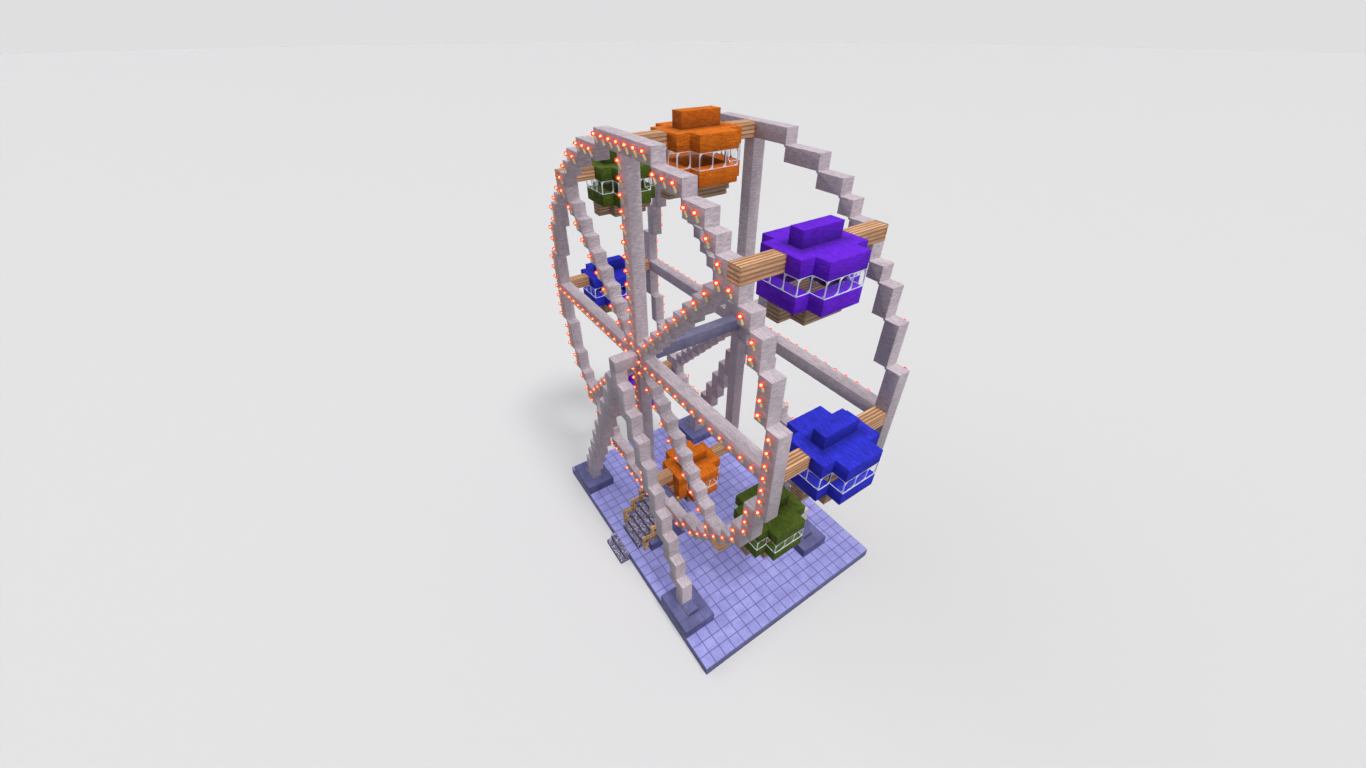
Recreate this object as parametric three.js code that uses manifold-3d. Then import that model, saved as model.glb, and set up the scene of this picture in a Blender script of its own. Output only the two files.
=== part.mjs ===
// A ferris wheel built from one-metre blocks: two stepped rims with spokes on a common axle,
// eight cabins that hang level between the rims, two A-shaped stands, a paved plinth and a stair.
// Millimetres, +Z up. The origin is on the ground under the middle of the axle, and the axle
// runs along Y. The front, where the stair is, faces -Y.

import * as THREE from 'three';
import { mergeVertices } from 'three/addons/utils/BufferGeometryUtils.js';
import Module from 'manifold-3d';

const wasm = await Module();
wasm.setup();

// Driving dimensions
const BLOCK = 1000; // every main piece is laid out on this pitch
const HALF = BLOCK / 2;
const GAP = 0.3; // left between pieces that touch
const RUNNING_GAP = 20; // left between pieces that move past each other

// Wheel
const HUB_HEIGHT = 22500;
const RIM_RADIUS = 15; // blocks from the hub to the rim's top run
const DIAGONAL_BLOCKS = 10; // blocks in a diagonal spoke
const WHEEL_HALF_DEPTH = 5500; // middle of the axle to the outer face of a rim
const TIE = 120; // side of the square ties that join blocks meeting at an edge
const DIAGONAL_HANGER = 11; // blocks from the hub, along X and along Z
const JOURNAL_RADIUS = 250;
const JOURNAL_SIDES = 48;
const JOURNAL_CLEARANCE = 0.3; // between the journal's corners and the flats of its bore
const BEARING_END_WALL = 200;
const PIN_RADIUS = 150;
const PIN_SIDES = 32;
const PIN_CLEARANCE = 0.2;

// Cabins, measured from the hanger's centre
const CABIN_HALF = 2500; // half the cabin's width and depth
const CORNER_CUT = 1000; // side of the square left out at each corner
const INSIDE_HALF = 1500;
const RIDGE_HALF_LENGTH = 1500;
const ROOF_TOP = 500;
const RIDGE_TOP = 1500;
const ROOF_BOTTOM = -500;
const WINDOW_BOTTOM = -1500;
const TUB_BOTTOM = -2500;
const FLOOR_BOTTOM = -3500;
const GLASS_INSET = 20;
const GLASS_THICKNESS = 50;
const POST_SIDE = 120;
const DOORWAY_CABIN = 'bottom'; // it stands at the landing, and has a doorway in its front
const DOORWAY_HALF_WIDTH = 500;

// Plinth, footings and stands
const PLINTH_LEFT = -12500;
const PLINTH_RIGHT = 14500;
const PLINTH_FRONT = -8500;
const PLINTH_REAR = 11500;
const PLINTH_TOP = 1000;
const FOOTING_INNER = 7500;
const FOOTING_OUTER = 11500;
const FOOTING_DEPTH = 3000;
const FOOTING_TOP = 2000;
const STAND_INNER = 6500; // middle of the axle to the inner face of a stand
const STAND_OUTER = 7500;
const STAND_COLUMNS = 9; // columns on each side of the middle one
const COLUMN_HEIGHT = 3000;
const COLUMN_DROP = 2000; // each column starts this much lower than the one before
const FOOT_STEP_HEIGHT = 500;

// Stair
const STEP = 500; // rise and going
const STAIR_HALF_WIDTH = 1500;
const STAIR_FRONT = -7500;
const STAIR_STEPS = 8;
const LANDING_REAR = -2500 - RUNNING_GAP;
const WALL_OUTER = 2500;
const WALL_STAGES = 4;
const POST_WIDTH = 250;
const POST_HEIGHT = 2000;
const LAST_POST_HEIGHT = 1300; // kept low, because the hangers pass above it
const RAIL_WIDTH = 125;
const RAIL_HEIGHT = 187.5;
const RAIL_LEVELS = [375, 750];

// Finishes
const pale = { color: 0x9c9391, roughness: 0.95, metalness: 0 };
const axleGrey = { color: 0x6f7088, roughness: 0.6, metalness: 0 };
const paving = { color: 0x9a9ab2, roughness: 0.8, metalness: 0 };
const footingStone = { color: 0x8d8d93, roughness: 0.9, metalness: 0 };
const treadStone = { color: 0x7b7a80, roughness: 0.95, metalness: 0 };
const timber = { color: 0xa58255, roughness: 0.8, metalness: 0 };
const floorTimber = { color: 0x6b5138, roughness: 0.85, metalness: 0 };
const glass = { color: 0xb9d3e0, roughness: 0.05, metalness: 0, transparent: true, opacity: 0.3 };
const orange = { color: 0xd0690f, roughness: 0.95, metalness: 0 };
const purple = { color: 0x5a22b0, roughness: 0.95, metalness: 0 };
const blue = { color: 0x27309a, roughness: 0.95, metalness: 0 };
const green = { color: 0x4a5f1c, roughness: 0.95, metalness: 0 };

// A closed three.js shape as a solid that can be joined and cut
function solid(geometry) {
  const bare = geometry.index ? geometry.toNonIndexed() : geometry.clone();
  bare.deleteAttribute('normal');
  bare.deleteAttribute('uv');
  const merged = mergeVertices(bare, 1e-4);
  return new wasm.Manifold(new wasm.Mesh({
    numProp: 3,
    vertProperties: new Float32Array(merged.attributes.position.array),
    triVerts: new Uint32Array(merged.index.array),
  }));
}

function geometryOf(manifold) {
  const mesh = manifold.getMesh();
  const geometry = new THREE.BufferGeometry();
  geometry.setAttribute('position', new THREE.BufferAttribute(mesh.vertProperties, 3));
  geometry.setIndex(new THREE.BufferAttribute(mesh.triVerts, 1));
  geometry.computeVertexNormals();
  return geometry;
}

function box(x0, x1, y0, y1, z0, z1) {
  const geometry = new THREE.BoxGeometry(x1 - x0, y1 - y0, z1 - z0);
  geometry.translate((x0 + x1) / 2, (y0 + y1) / 2, (z0 + z1) / 2);
  return solid(geometry);
}

// A round bar along Y, through the origin
function roundBar(radius, sides, y0, y1) {
  const geometry = new THREE.CylinderGeometry(radius, radius, y1 - y0, sides);
  geometry.translate(0, (y0 + y1) / 2, 0);
  return solid(geometry);
}

// An outline drawn in X and Y, raised from z0 to z1
function slab(points, z0, z1, hole = null) {
  const shape = new THREE.Shape(points.map(([x, y]) => new THREE.Vector2(x, y)));
  if (hole) shape.holes.push(new THREE.Path(hole.map(([x, y]) => new THREE.Vector2(x, y))));
  const geometry = new THREE.ExtrudeGeometry(shape, { depth: z1 - z0, bevelEnabled: false });
  geometry.translate(0, 0, z0);
  return solid(geometry);
}

function fuse(pieces) {
  return pieces.reduce((whole, piece) => whole.add(piece));
}

// The radius of a many-sided bore whose flats clear the corners of the bar that turns in it
function boreRadius(barRadius, clearance, sides) {
  return (barRadius + clearance) / Math.cos(Math.PI / sides);
}

const ferrisWheel = new THREE.Group();

function addMesh(parent, name, shape, finish) {
  const mesh = new THREE.Mesh(geometryOf(shape), new THREE.MeshStandardMaterial(finish));
  mesh.name = name;
  parent.add(mesh);
  return mesh;
}

// Height of the rim's blocks above the hub, in whole blocks, over the block that is x away
function rimHeight(x) {
  return Math.floor(Math.sqrt((RIM_RADIUS + 0.5) ** 2 - x ** 2));
}

// The upper quarter of the rim as level runs of blocks: [first x, last x, height]
function rimRuns() {
  const runs = [];
  for (let x = -DIAGONAL_BLOCKS; x <= DIAGONAL_BLOCKS; x += 1) {
    const height = rimHeight(x);
    const last = runs[runs.length - 1];
    if (last && last[2] === height) last[1] = x;
    else runs.push([x, x, height]);
  }
  return runs;
}

// The blocks of a run, and the tie under the edge where it meets the next lower run outward
function runBoxes([first, last, height]) {
  const x0 = first * BLOCK - HALF;
  const x1 = last * BLOCK + HALF;
  const z0 = height * BLOCK - HALF;
  const boxes = [[x0, x1, z0, z0 + BLOCK]];
  if (last >= 0) boxes.push([x1 - TIE, x1, z0 - TIE, z0]);
  if (first <= 0) boxes.push([x0, x0 + TIE, z0 - TIE, z0]);
  return boxes;
}

function rim(y0, y1) {
  const pieces = [];
  for (const run of rimRuns()) {
    for (const [a0, a1, b0, b1] of runBoxes(run)) {
      pieces.push(box(a0, a1, y0, y1, b0, b1)); // top
      pieces.push(box(a0, a1, y0, y1, -b1, -b0)); // bottom
      pieces.push(box(b0, b1, y0, y1, a0, a1)); // right
      pieces.push(box(-b1, -b0, y0, y1, a0, a1)); // left
    }
  }
  return fuse(pieces);
}

// Four straight and four stepped spokes round the hub block, with the bore for the axle. The tip
// of a stepped spoke is notched round the tie in the rim's corner.
function spokes(y0, y1) {
  const reach = RIM_RADIUS * BLOCK - HALF - GAP;
  const tip = DIAGONAL_BLOCKS * BLOCK + HALF;
  const notch = tip - TIE - GAP;
  const pieces = [
    box(-HALF, HALF, y0, y1, -reach, reach),
    box(-reach, reach, y0, y1, -HALF, HALF),
  ];
  const cuts = [roundBar(JOURNAL_RADIUS + GAP, JOURNAL_SIDES, y0 - HALF, y1 + HALF)];
  for (const sx of [-1, 1]) {
    for (const sz of [-1, 1]) {
      const place = (a0, a1, b0, b1) => {
        const xs = [sx * a0, sx * a1].sort((a, b) => a - b);
        const zs = [sz * b0, sz * b1].sort((a, b) => a - b);
        return box(xs[0], xs[1], y0, y1, zs[0], zs[1]);
      };
      for (let k = 1; k <= DIAGONAL_BLOCKS; k += 1) {
        const near = k * BLOCK - HALF;
        const far = k * BLOCK + HALF - (k === DIAGONAL_BLOCKS ? GAP : 0);
        pieces.push(place(near, far, near, far));
        if (k === 1) continue;
        pieces.push(place(near - TIE, near, near, near + TIE));
        pieces.push(place(near, near + TIE, near - TIE, near));
      }
      cuts.push(place(notch, tip, notch, tip));
    }
  }
  return fuse(pieces).subtract(fuse(cuts));
}

// Wheel: rims, spokes, axle and hangers
const wheel = new THREE.Group();
wheel.position.z = HUB_HEIGHT;
ferrisWheel.add(wheel);

const rimInner = WHEEL_HALF_DEPTH - BLOCK;
addMesh(wheel, 'front_rim', rim(-WHEEL_HALF_DEPTH, -rimInner), pale);
addMesh(wheel, 'rear_rim', rim(rimInner, WHEEL_HALF_DEPTH), pale);
addMesh(wheel, 'front_spokes', spokes(-WHEEL_HALF_DEPTH, -rimInner), pale);
addMesh(wheel, 'rear_spokes', spokes(rimInner, WHEEL_HALF_DEPTH), pale);

const journalEnd = STAND_OUTER - BEARING_END_WALL - RUNNING_GAP;
addMesh(wheel, 'axle', fuse([
  box(-HALF, HALF, -rimInner + GAP, rimInner - GAP, -HALF, HALF),
  roundBar(JOURNAL_RADIUS, JOURNAL_SIDES, -journalEnd, journalEnd),
]), axleGrey);

// Cabins, as [name, hanger's x, hanger's z, colour], with x and z in blocks from the hub
const cabins = [
  ['top', 0, RIM_RADIUS, orange],
  ['upper_right', DIAGONAL_HANGER, DIAGONAL_HANGER, purple],
  ['right', RIM_RADIUS, 0, blue],
  ['lower_right', DIAGONAL_HANGER, -DIAGONAL_HANGER, green],
  ['bottom', 0, -RIM_RADIUS, orange],
  ['lower_left', -DIAGONAL_HANGER, -DIAGONAL_HANGER, purple],
  ['left', -RIM_RADIUS, 0, blue],
  ['upper_left', -DIAGONAL_HANGER, DIAGONAL_HANGER, green],
];

// Two square bars with a round pin between them. A diagonal hanger lies outside the corners of
// both rims and is as long as the wheel is deep; the others fit between the rims.
function hanger(x, z) {
  const diagonal = x !== 0 && z !== 0;
  const end = diagonal ? WHEEL_HALF_DEPTH : rimInner - GAP;
  const cabinSide = CABIN_HALF + RUNNING_GAP;
  const low = (side) => (side < 0 || !diagonal ? -HALF : -HALF + GAP);
  const high = (side) => (side > 0 || !diagonal ? HALF : HALF - GAP);
  const bar = (y0, y1) => box(low(x), high(x), y0, y1, low(z), high(z));
  return fuse([
    bar(-end, -cabinSide),
    bar(cabinSide, end),
    roundBar(PIN_RADIUS, PIN_SIDES, -cabinSide - HALF, cabinSide + HALF),
  ]);
}

// A square outline of the given half size with its corners cut
function cutOutline(half, cut) {
  const quarter = [[half, half - cut], [half - cut, half - cut], [half - cut, half]];
  const turn = ([x, y]) => [-y, x];
  const points = [];
  let corner = quarter;
  for (let i = 0; i < 4; i += 1) {
    points.push(...corner);
    corner = corner.map(turn);
  }
  return points;
}

const squareOutline = (half) => [[half, -half], [half, half], [-half, half], [-half, -half]];

function cabinRoof() {
  const bore = boreRadius(PIN_RADIUS, PIN_CLEARANCE, PIN_SIDES);
  return fuse([
    slab(cutOutline(CABIN_HALF, CORNER_CUT), ROOF_BOTTOM, ROOF_TOP),
    box(-HALF, HALF, -RIDGE_HALF_LENGTH, RIDGE_HALF_LENGTH, ROOF_TOP, RIDGE_TOP),
  ]).subtract(roundBar(bore, PIN_SIDES, -CABIN_HALF - HALF, CABIN_HALF + HALF));
}

// A band of glass all round, or up to the front wall where that has a doorway
function cabinWindows(hasDoorway) {
  const outer = cutOutline(CABIN_HALF - GLASS_INSET, CORNER_CUT);
  const inner = cutOutline(CABIN_HALF - GLASS_INSET - GLASS_THICKNESS, CORNER_CUT);
  const band = slab(outer, WINDOW_BOTTOM + GAP, ROOF_BOTTOM - GAP, inner);
  if (!hasDoorway) return band;
  const recess = -(CABIN_HALF - GLASS_INSET - CORNER_CUT);
  return band.subtract(box(-CABIN_HALF, CABIN_HALF, -CABIN_HALF, recess, WINDOW_BOTTOM, ROOF_BOTTOM));
}

// Four low walls joined by posts in the inner corners, which also carry the roof. With a doorway
// the front wall is as high as the roof's underside and is cut through in the middle.
function cabinTub(hasDoorway) {
  const pieces = [];
  const postOuter = CABIN_HALF - CORNER_CUT - GLASS_INSET - GLASS_THICKNESS - GAP;
  for (const s of [-1, 1]) {
    const near = s > 0 ? INSIDE_HALF : -CABIN_HALF;
    const far = s > 0 ? CABIN_HALF : -INSIDE_HALF;
    pieces.push(box(near, far, -INSIDE_HALF, INSIDE_HALF, TUB_BOTTOM, WINDOW_BOTTOM));
    pieces.push(box(-INSIDE_HALF, INSIDE_HALF, near, far, TUB_BOTTOM, WINDOW_BOTTOM));
    for (const t of [-1, 1]) {
      const square = (outer, z0, z1) => {
        const inner = postOuter - POST_SIDE;
        const xs = [s * inner, s * outer].sort((a, b) => a - b);
        const ys = [t * inner, t * outer].sort((a, b) => a - b);
        return box(xs[0], xs[1], ys[0], ys[1], z0, z1);
      };
      pieces.push(square(INSIDE_HALF, TUB_BOTTOM, WINDOW_BOTTOM));
      pieces.push(square(postOuter, WINDOW_BOTTOM, ROOF_BOTTOM - GAP));
    }
  }
  if (!hasDoorway) return fuse(pieces);
  pieces.push(box(
    -INSIDE_HALF, INSIDE_HALF, -CABIN_HALF, -INSIDE_HALF, WINDOW_BOTTOM, ROOF_BOTTOM - GAP,
  ));
  return fuse(pieces).subtract(box(
    -DOORWAY_HALF_WIDTH, DOORWAY_HALF_WIDTH,
    -CABIN_HALF - HALF, -INSIDE_HALF + HALF,
    TUB_BOTTOM - HALF, ROOF_BOTTOM,
  ));
}

function cabinFloor() {
  const top = TUB_BOTTOM - GAP;
  return fuse([
    box(-INSIDE_HALF, INSIDE_HALF, -INSIDE_HALF, INSIDE_HALF, FLOOR_BOTTOM, top),
    box(-HALF, HALF, -CABIN_HALF, CABIN_HALF, FLOOR_BOTTOM, top),
  ]);
}

for (const [name, x, z, colour] of cabins) {
  const hasDoorway = name === DOORWAY_CABIN;
  const bay = new THREE.Group();
  bay.position.set(x * BLOCK, 0, z * BLOCK);
  wheel.add(bay);
  addMesh(bay, `${name}_hanger`, hanger(x, z), timber);
  addMesh(bay, `${name}_cabin_roof`, cabinRoof(), colour);
  addMesh(bay, `${name}_cabin_windows`, cabinWindows(hasDoorway), glass);
  addMesh(bay, `${name}_cabin_tub`, cabinTub(hasDoorway), colour);
  addMesh(bay, `${name}_cabin_floor`, cabinFloor(), floorTimber);
}

// Plinth, with the lower steps against its front
addMesh(ferrisWheel, 'plinth', box(
  PLINTH_LEFT, PLINTH_RIGHT, PLINTH_FRONT, PLINTH_REAR, 0, PLINTH_TOP,
), paving);

addMesh(ferrisWheel, 'lower_steps', fuse([
  box(-STAIR_HALF_WIDTH, STAIR_HALF_WIDTH, PLINTH_FRONT - 2 * STEP, PLINTH_FRONT - GAP, 0, STEP),
  box(-STAIR_HALF_WIDTH, STAIR_HALF_WIDTH, PLINTH_FRONT - STEP, PLINTH_FRONT - GAP, STEP, 2 * STEP),
]), treadStone);

// Footings, stands and bearings, the same at the front and at the rear. Each is given as drawn
// behind the wheel, and sent to the front by turning its Y round.
function acrossY(side, near, far) {
  return side > 0 ? [near, far] : [-far, -near];
}

function stand(side) {
  const [y0, y1] = acrossY(side, STAND_INNER, STAND_OUTER);
  const pieces = [];
  for (let k = -STAND_COLUMNS; k <= STAND_COLUMNS; k += 1) {
    const top = HUB_HEIGHT + HALF - COLUMN_DROP * Math.abs(k);
    const bottom = Math.max(top - COLUMN_HEIGHT, FOOTING_TOP + GAP);
    const cappedTop = k === 0 ? HUB_HEIGHT - HALF - GAP : top;
    pieces.push(box(k * BLOCK - HALF, k * BLOCK + HALF, y0, y1, bottom, cappedTop));
  }
  const foot = STAND_COLUMNS * BLOCK + HALF;
  const stepTop = FOOTING_TOP + FOOT_STEP_HEIGHT;
  pieces.push(box(foot, foot + BLOCK, y0, y1, FOOTING_TOP + GAP, stepTop));
  pieces.push(box(-foot - BLOCK, -foot, y0, y1, FOOTING_TOP + GAP, stepTop));
  return fuse(pieces);
}

function bearing(side) {
  const wheelFace = WHEEL_HALF_DEPTH + RUNNING_GAP;
  const [y0, y1] = acrossY(side, wheelFace, STAND_OUTER);
  const [b0, b1] = acrossY(side, wheelFace - HALF, STAND_OUTER - BEARING_END_WALL);
  const bore = boreRadius(JOURNAL_RADIUS, JOURNAL_CLEARANCE, JOURNAL_SIDES);
  return box(-HALF, HALF, y0, y1, -HALF, HALF).subtract(roundBar(bore, JOURNAL_SIDES, b0, b1));
}

for (const [place, side] of [['front', -1], ['rear', 1]]) {
  addMesh(ferrisWheel, `${place}_a_frame`, stand(side), pale);
  addMesh(ferrisWheel, `${place}_bearing`, bearing(side), pale).position.z = HUB_HEIGHT;
  const [y0, y1] = acrossY(side, WHEEL_HALF_DEPTH, WHEEL_HALF_DEPTH + FOOTING_DEPTH);
  const pad = (x0, x1) => box(x0, x1, y0, y1, PLINTH_TOP + GAP, FOOTING_TOP);
  addMesh(ferrisWheel, `${place}_left_footing`, pad(-FOOTING_OUTER, -FOOTING_INNER), footingStone);
  addMesh(ferrisWheel, `${place}_right_footing`, pad(FOOTING_INNER, FOOTING_OUTER), footingStone);
}

// Stair: steps of solid stone, then the landing beside the bottom cabin
function stair() {
  const pieces = [];
  const base = PLINTH_TOP + GAP;
  for (let i = 0; i < STAIR_STEPS; i += 1) {
    const front = STAIR_FRONT + i * STEP;
    const top = PLINTH_TOP + (i + 1) * STEP;
    const rear = i === STAIR_STEPS - 1 ? LANDING_REAR : front + STEP;
    pieces.push(box(-STAIR_HALF_WIDTH, STAIR_HALF_WIDTH, front, rear, base, top));
  }
  return fuse(pieces);
}

// A stepped wall beside the stair, one block high at the front and four at the landing
function stairWall(side) {
  const inner = side * (STAIR_HALF_WIDTH + GAP);
  const outer = side * WALL_OUTER;
  const x0 = Math.min(inner, outer);
  const x1 = Math.max(inner, outer);
  const pieces = [];
  for (let k = 1; k <= WALL_STAGES; k += 1) {
    const front = STAIR_FRONT + k * BLOCK;
    const rear = k === WALL_STAGES ? LANDING_REAR : front + BLOCK;
    pieces.push(box(x0, x1, front, rear, PLINTH_TOP + GAP, PLINTH_TOP + k * BLOCK));
  }
  return fuse(pieces);
}

// Timber posts standing on the plinth and on the wall's stages, with two rails from each post to
// the next higher one, and two short ones from each post to the wall in front of it
function railing(side) {
  const x = side * (STAIR_HALF_WIDTH + HALF);
  const pieces = [];
  const post = (y, z0, z1) => box(
    x - POST_WIDTH / 2, x + POST_WIDTH / 2, y - POST_WIDTH / 2, y + POST_WIDTH / 2, z0, z1,
  );
  const rails = (y0, y1, foot) => RAIL_LEVELS.map((level) => box(
    x - RAIL_WIDTH / 2, x + RAIL_WIDTH / 2, y0, y1, foot + level, foot + level + RAIL_HEIGHT,
  ));
  for (let k = 0; k <= WALL_STAGES; k += 1) {
    const y = STAIR_FRONT + k * BLOCK + HALF;
    const foot = PLINTH_TOP + k * BLOCK;
    const last = k === WALL_STAGES;
    pieces.push(post(y, foot + GAP, foot + (last ? LAST_POST_HEIGHT : POST_HEIGHT)));
    if (last) continue;
    pieces.push(...rails(y, y + BLOCK, foot + BLOCK));
    pieces.push(...rails(y, y + HALF - GAP, foot));
  }
  return fuse(pieces);
}

addMesh(ferrisWheel, 'stair', stair(), treadStone);
for (const [place, side] of [['left', -1], ['right', 1]]) {
  addMesh(ferrisWheel, `${place}_stair_wall`, stairWall(side), footingStone);
  addMesh(ferrisWheel, `${place}_railing`, railing(side), timber);
}

export default ferrisWheel;
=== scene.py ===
# %% [markdown]
# A ferris wheel built from metre blocks.
# Two stepped rims turn on one axle between two stepped stands. Eight cabins hang between the rims
# and stay level. The wheel stands on a paved plinth with a stair up to the boarding landing.
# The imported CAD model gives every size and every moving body, so this file only adds looks: edges,
# planks, paving, window frames, lamps, finishes, light and a camera.

import math

import bmesh
import bpy
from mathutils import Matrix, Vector


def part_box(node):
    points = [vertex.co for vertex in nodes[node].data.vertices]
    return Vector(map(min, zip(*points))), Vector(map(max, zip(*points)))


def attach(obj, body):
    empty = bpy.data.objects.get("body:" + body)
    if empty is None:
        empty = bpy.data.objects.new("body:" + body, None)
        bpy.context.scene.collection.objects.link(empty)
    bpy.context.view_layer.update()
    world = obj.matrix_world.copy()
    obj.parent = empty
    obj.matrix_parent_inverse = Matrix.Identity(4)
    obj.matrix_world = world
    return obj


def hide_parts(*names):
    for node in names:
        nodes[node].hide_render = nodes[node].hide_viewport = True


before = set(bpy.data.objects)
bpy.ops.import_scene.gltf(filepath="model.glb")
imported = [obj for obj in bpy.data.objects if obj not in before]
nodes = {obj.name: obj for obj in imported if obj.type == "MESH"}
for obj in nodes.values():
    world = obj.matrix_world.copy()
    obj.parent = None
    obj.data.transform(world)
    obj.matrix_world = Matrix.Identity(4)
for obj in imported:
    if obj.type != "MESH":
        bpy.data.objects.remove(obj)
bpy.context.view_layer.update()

# %% [markdown]
# Where things are.
# Everything on this wheel sits on one grid of metre blocks, so a few numbers place all the pieces.
# The hub is 22.5 m up, the rims' outer faces are 5.5 m from the middle of the axle, and each cabin
# hangs on a bar whose centre is given here in metres from the hub.

# %% Sizes and places
HUB = Vector((0, 0, 22.5))
RIM_FACE = 5.5
RIM_RADIUS = 15
DIAGONAL = 11
CABIN_HALF = 2.5
CORNER = 1.0
CABINS = {
    "top": (0, RIM_RADIUS, "orange"),
    "upper_right": (DIAGONAL, DIAGONAL, "purple"),
    "right": (RIM_RADIUS, 0, "blue"),
    "lower_right": (DIAGONAL, -DIAGONAL, "green"),
    "bottom": (0, -RIM_RADIUS, "orange"),
    "lower_left": (-DIAGONAL, -DIAGONAL, "purple"),
    "left": (-RIM_RADIUS, 0, "blue"),
    "upper_left": (-DIAGONAL, DIAGONAL, "green"),
}


def bar_centre(name):
    x, z, _ = CABINS[name]
    return HUB + Vector((x, 0, z))


print(len(CABINS), "cabins, hub at", tuple(HUB))

# %% [markdown]
# The camera.
# The photograph looks down on the wheel from the front right with a wide lens. Its place, its aim
# and its focal length were found by matching corners of blocks, whose size is known.

# %% Camera
CAMERA_PLACE = (27.81, -19.849, 43.405)
YAW = math.radians(145.91)
PITCH = math.radians(-37.076)
SENSOR_WIDTH = 36
LENS = 12.72
FARTHEST = 4000
aim = Vector((math.cos(PITCH) * math.cos(YAW), math.cos(PITCH) * math.sin(YAW), math.sin(PITCH)))
bpy.ops.object.camera_add(location=CAMERA_PLACE)
camera = bpy.context.object
camera.name = "photo_camera"
camera.rotation_euler = aim.to_track_quat("-Z", "Y").to_euler()
camera.data.sensor_width = SENSOR_WIDTH
camera.data.lens = LENS
camera.data.clip_end = FARTHEST
bpy.context.scene.camera = camera
print("camera at", tuple(round(v, 2) for v in camera.location))

# %% [markdown]
# Light.
# The key comes from the upper right, so tops are lightest, right sides come next and fronts are
# darker, as in the photograph. A second light from the same side casts no shadow: it keeps the
# cabins' insides bright and the cast shadows soft. A weak fill from the front left and a pale
# surround do the rest. A sun's place doesn't matter, only the way that it points.

# %% Light
def sun(name, towards, strength, softness, colour, casts_shadow=True):
    bpy.ops.object.light_add(type="SUN", location=(0, 0, 60))
    lamp = bpy.context.object
    lamp.name = name
    lamp.rotation_euler = Vector(towards).to_track_quat("-Z", "Y").to_euler()
    lamp.data.energy = strength
    lamp.data.angle = math.radians(softness)
    lamp.data.color = colour
    lamp.data.use_shadow = casts_shadow
    return lamp


KEY = (-0.48, -0.08, -0.95)
WARM = (1.0, 0.985, 0.96)
FILL = (0.7, 0.8, -0.8)
COOL = (0.92, 0.94, 1.0)
sun("key", KEY, 1.35, 12, WARM)
sun("key_without_shadow", KEY, 1.75, 12, WARM, casts_shadow=False)
sun("fill", FILL, 0.62, 60, COOL)

world = bpy.data.worlds.new("studio")
world.use_nodes = True
surround = world.node_tree.nodes["Background"]
surround.inputs["Color"].default_value = (0.93, 0.95, 1.0, 1)
surround.inputs["Strength"].default_value = 0.28
bpy.context.scene.world = world
bpy.context.scene.view_settings.view_transform = "Standard"

# %% [markdown]
# Small tools.
# An operator acts on whatever is selected, so each step begins by selecting one piece alone. A
# finished piece has its place in its mesh, and its object stays at the origin.

# %% Tools for modelling
def only(piece):
    if bpy.context.object and bpy.context.object.mode != "OBJECT":
        bpy.ops.object.mode_set(mode="OBJECT")
    bpy.ops.object.select_all(action="DESELECT")
    piece.select_set(True)
    bpy.context.view_layer.objects.active = piece
    return piece


def settle(piece):
    only(piece)
    bpy.ops.object.transform_apply(location=True, rotation=True, scale=True)
    return piece


def joined(pieces, name):
    only(pieces[0])
    for piece in pieces:
        piece.select_set(True)
    bpy.ops.object.join()
    made = settle(pieces[0])
    made.name = name
    made.data.name = name
    return made


def copied(piece, name, place=(0, 0, 0), turn=0.0, size=(1, 1, 1)):
    made = piece.copy()
    made.data = piece.data.copy()
    made.name = name
    made.location = place
    made.rotation_euler = (0, 0, turn)
    made.scale = size
    bpy.context.collection.objects.link(made)
    return made


def drop(piece):
    bpy.data.objects.remove(piece)


def select_faces(piece, test):
    bpy.ops.mesh.select_mode(type="FACE")
    bpy.ops.mesh.select_all(action="DESELECT")
    mesh = bmesh.from_edit_mesh(piece.data)
    for face in mesh.faces:
        face.select_set(test(face.calc_center_median(), face.normal))
    bmesh.update_edit_mesh(piece.data)


def select_points(piece, test):
    bpy.ops.mesh.select_mode(type="VERT")
    bpy.ops.mesh.select_all(action="DESELECT")
    mesh = bmesh.from_edit_mesh(piece.data)
    for point in mesh.verts:
        point.select_set(test(point.co))
    bmesh.update_edit_mesh(piece.data)


def fit(piece, body, material, slot, *stands_for):
    piece.data.materials.clear()
    piece.data.materials.append(material)
    return place_on(piece, body, slot, *stands_for)


def place_on(piece, body, slot, *stands_for):
    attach(piece, body)
    if stands_for:
        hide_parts(*stands_for)
    return piece


print("modelling tools ready")

# %% [markdown]
# Tools for finishes.
# A finish is a tree of nodes. These helpers add a node, fill its sockets with numbers or with other
# nodes' outputs, and make a group, which is an effect that several finishes share.

# %% Tools for finishes
def node(tree, kind, values=None, **settings):
    made = tree.nodes.new(kind)
    for key, value in settings.items():
        setattr(made, key, value)
    for key, value in (values or {}).items():
        socket = made.inputs[key]
        if isinstance(value, bpy.types.NodeSocket):
            tree.links.new(value, socket)
        else:
            socket.default_value = value
    return made


def maths(tree, operation, a, b=0.0):
    made = node(tree, "ShaderNodeMath", {0: a, 1: b}, operation=operation)
    return made.outputs[0]


def vectors(tree, operation, a, b=(0, 0, 0)):
    made = node(tree, "ShaderNodeVectorMath", {0: a, 1: b}, operation=operation)
    return made.outputs[0]


def colours(tree, factor, a, b, mode="MIX"):
    made = node(tree, "ShaderNodeMix", {0: factor, 6: a, 7: b}, data_type="RGBA", blend_type=mode)
    return made.outputs[2]


def spread(tree, value, low, high, to_low=0.0, to_high=1.0, smooth=False):
    made = node(
        tree, "ShaderNodeMapRange", {0: value, 1: low, 2: high, 3: to_low, 4: to_high},
        interpolation_type="SMOOTHSTEP" if smooth else "LINEAR",
    )
    return made.outputs[0]


def noise(tree, place, scale, detail=3.0, roughness=0.6):
    made = node(tree, "ShaderNodeTexNoise", {
        "Vector": place, "Scale": scale, "Detail": detail, "Roughness": roughness,
    })
    return made.outputs[0]


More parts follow.
